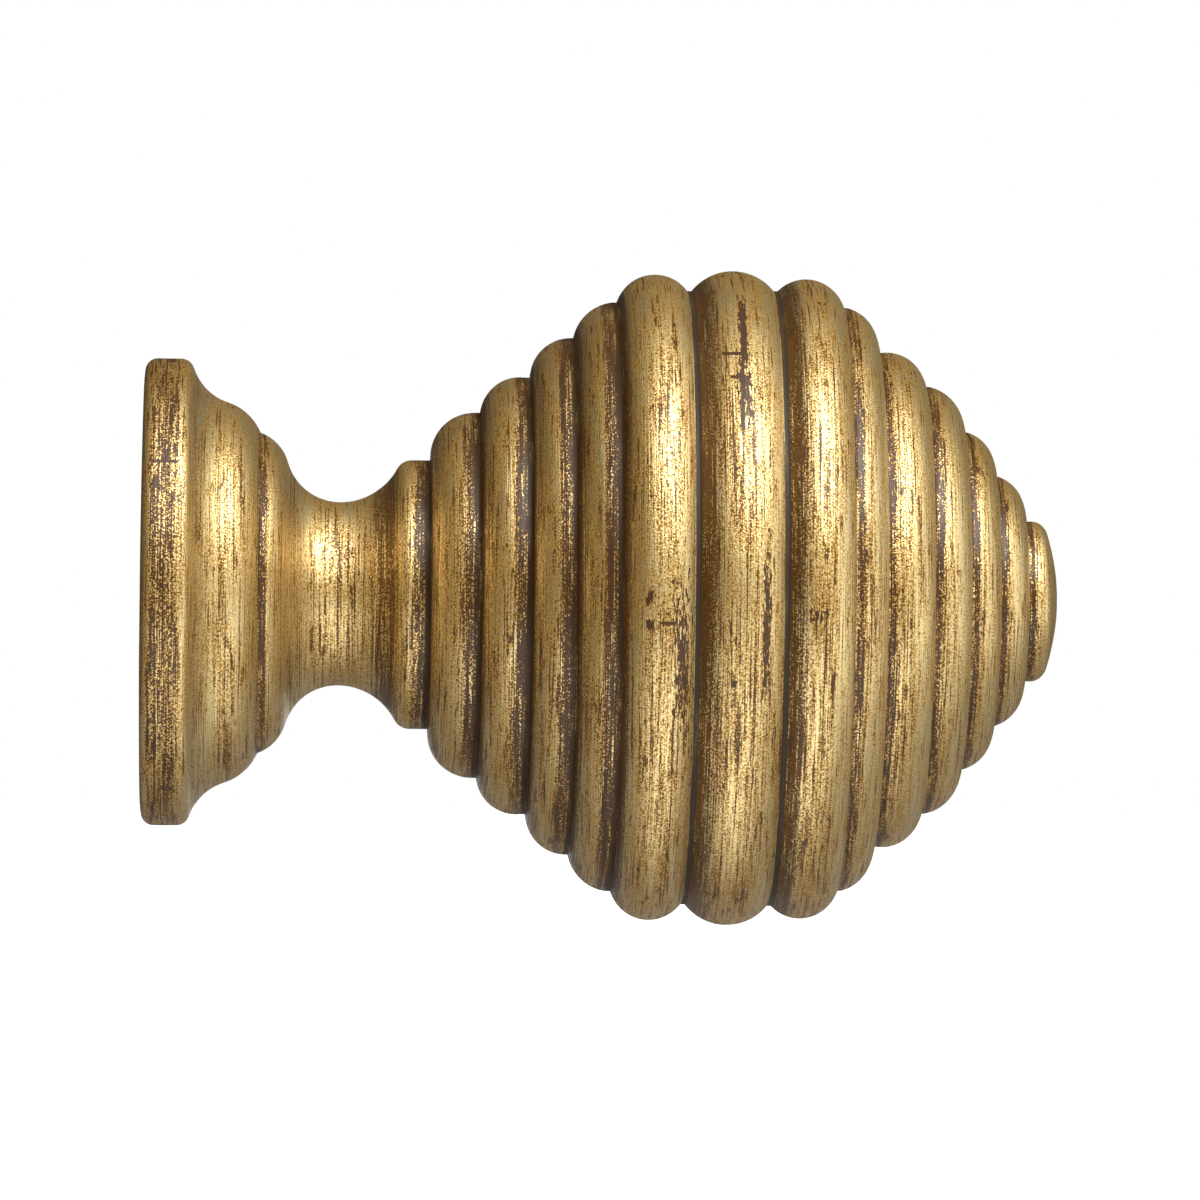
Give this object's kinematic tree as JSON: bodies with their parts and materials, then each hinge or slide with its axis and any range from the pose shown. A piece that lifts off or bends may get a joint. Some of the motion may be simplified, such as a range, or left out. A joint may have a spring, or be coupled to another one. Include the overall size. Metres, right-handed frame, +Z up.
{
  "type": "curtain pole finial",
  "caption": "Turned wooden finial for the end of a curtain pole: a moulded disc, a waisted neck and a beehive bulb of stacked rounded rings, in worn gilding.",
  "frame": {"origin": "centre of the flat face that meets the end of the pole", "axes": "+X along the turning axis, from the pole face to the tip; +Z up with the pole level; every direction round the axis is alike"},
  "size_m": [0.1175, 0.0841, 0.0842],
  "materials": {
    "gilded_wood": "aged gilding rubbed through to a dark brown ground, darker in the grooves"
  },
  "bodies": {
    "root": {"finial": "gilded_wood"}
  },
  "joints": []
}
